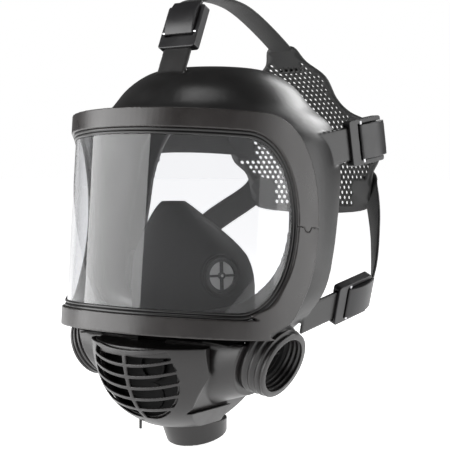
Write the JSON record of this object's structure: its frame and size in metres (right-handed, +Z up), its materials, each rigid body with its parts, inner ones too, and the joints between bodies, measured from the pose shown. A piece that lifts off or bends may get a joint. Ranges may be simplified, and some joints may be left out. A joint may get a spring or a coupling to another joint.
{
  "type": "full face respirator",
  "caption": "Full face breathing mask with a wide curved visor, angled side ports, grille cover, drinking fitting and buckled head harness.",
  "frame": {"origin": "centre of the face opening, on the axis of the visor's curve at eye height", "axes": "+X to the wearer's left, +Y towards the back of the head, so the wearer looks along -Y, +Z up"},
  "size_m": [0.2192, 0.2591, 0.3166],
  "materials": {
    "face_rubber": "smooth black moulded rubber with a satin sheen",
    "cup_rubber": "matt black moulded rubber",
    "seal_rubber": "matt black rubber",
    "clear_visor": "clear hard-coated polycarbonate",
    "frame_plastic": "satin dark grey moulded plastic",
    "housing_plastic": "satin dark grey moulded plastic",
    "buckle_plastic": "satin black moulded plastic",
    "valve_plastic": "satin black moulded plastic",
    "valve_silicone": "translucent grey silicone",
    "diaphragm_film": "thin dull film",
    "steel": "plain steel",
    "webbing": "black woven elastic webbing",
    "pad_fabric": "black perforated rubberised fabric"
  },
  "bodies": {
    "mask": {"buckle_lower_left": "buckle_plastic", "buckle_lower_right": "buckle_plastic", "buckle_pin_lower_left": "steel", "buckle_pin_lower_right": "steel", "buckle_pin_temple_left": "steel", "buckle_pin_temple_right": "steel", "buckle_pin_top": "steel", "buckle_temple_left": "buckle_plastic", "buckle_temple_right": "buckle_plastic", "buckle_top": "buckle_plastic", "check_seat_left": "valve_plastic", "check_seat_right": "valve_plastic", "cover_peg": "housing_plastic", "diaphragm_ring": "housing_plastic", "drink_coupling": "valve_plastic", "drink_socket": "housing_plastic", "drink_tube": "seal_rubber", "exhale_seat": "valve_plastic", "facepiece": "face_rubber", "frame_screws": "steel", "front_cover": "housing_plastic", "head_pad": "pad_fabric", "inhale_seat_left": "valve_plastic", "inhale_seat_right": "valve_plastic", "nose_cup": "cup_rubber", "port_collar_left": "housing_plastic", "port_collar_right": "housing_plastic", "port_gasket_left": "seal_rubber", "port_gasket_right": "seal_rubber", "speech_diaphragm": "diaphragm_film", "strap_lower_left": "webbing", "strap_lower_right": "webbing", "strap_temple_left": "webbing", "strap_temple_right": "webbing", "strap_top": "webbing", "valve_housing": "housing_plastic", "valve_plate": "housing_plastic", "visor": "clear_visor", "visor_frame_lower": "frame_plastic", "visor_frame_upper": "frame_plastic"},
    "buckle_lever_lower_left": {"buckle_lever_lower_left": "buckle_plastic"},
    "buckle_lever_lower_right": {"buckle_lever_lower_right": "buckle_plastic"},
    "buckle_lever_temple_left": {"buckle_lever_temple_left": "buckle_plastic"},
    "buckle_lever_temple_right": {"buckle_lever_temple_right": "buckle_plastic"},
    "buckle_lever_top": {"buckle_lever_top": "buckle_plastic"},
    "check_disc_left": {"check_disc_left": "valve_silicone"},
    "check_disc_right": {"check_disc_right": "valve_silicone"},
    "exhale_disc": {"exhale_disc": "seal_rubber"},
    "inhale_disc_left": {"inhale_disc_left": "seal_rubber"},
    "inhale_disc_right": {"inhale_disc_right": "seal_rubber"}
  },
  "joints": [
    {"name": "buckle_lever_top_lift", "type": "hinge", "parent": "mask", "child": "buckle_lever_top", "pos_m": [0, -0.02952, 0.13477], "axis": [1, 0, 0], "range_deg": [0, 35]},
    {"name": "buckle_lever_temple_left_lift", "type": "hinge", "parent": "mask", "child": "buckle_lever_temple_left", "pos_m": [0.10178, 0.0468, 0.05918], "axis": [0.0345, 0.1673, -0.9853], "range_deg": [0, 35]},
    {"name": "buckle_lever_lower_left_lift", "type": "hinge", "parent": "mask", "child": "buckle_lever_lower_left", "pos_m": [0.08932, 0.05015, -0.05437], "axis": [-0.3545, 0.3304, -0.8747], "range_deg": [0, 35]},
    {"name": "buckle_lever_temple_right_lift", "type": "hinge", "parent": "mask", "child": "buckle_lever_temple_right", "pos_m": [-0.10178, 0.0468, 0.05918], "axis": [0.0345, -0.1673, 0.9853], "range_deg": [0, 35]},
    {"name": "buckle_lever_lower_right_lift", "type": "hinge", "parent": "mask", "child": "buckle_lever_lower_right", "pos_m": [-0.08932, 0.05015, -0.05437], "axis": [-0.3545, -0.3304, 0.8747], "range_deg": [0, 35]},
    {"name": "exhale_disc_lift", "type": "slide", "parent": "mask", "child": "exhale_disc", "axis": [0, -1, 0], "range_m": [0, 0.0015], "stiffness_N_per_m": 4},
    {"name": "inhale_disc_left_lift", "type": "slide", "parent": "mask", "child": "inhale_disc_left", "axis": [-0.9325, 0.01, 0.361], "range_m": [0, 0.0015], "stiffness_N_per_m": 4},
    {"name": "check_disc_left_lift", "type": "slide", "parent": "mask", "child": "check_disc_left", "axis": [-0.8913, 0.4507, -0.0501], "range_m": [0, 0.0015], "stiffness_N_per_m": 4},
    {"name": "inhale_disc_right_lift", "type": "slide", "parent": "mask", "child": "inhale_disc_right", "axis": [0.9325, 0.01, 0.361], "range_m": [0, 0.0015], "stiffness_N_per_m": 4},
    {"name": "check_disc_right_lift", "type": "slide", "parent": "mask", "child": "check_disc_right", "axis": [0.8913, 0.4507, -0.0501], "range_m": [0, 0.0015], "stiffness_N_per_m": 4}
  ]
}
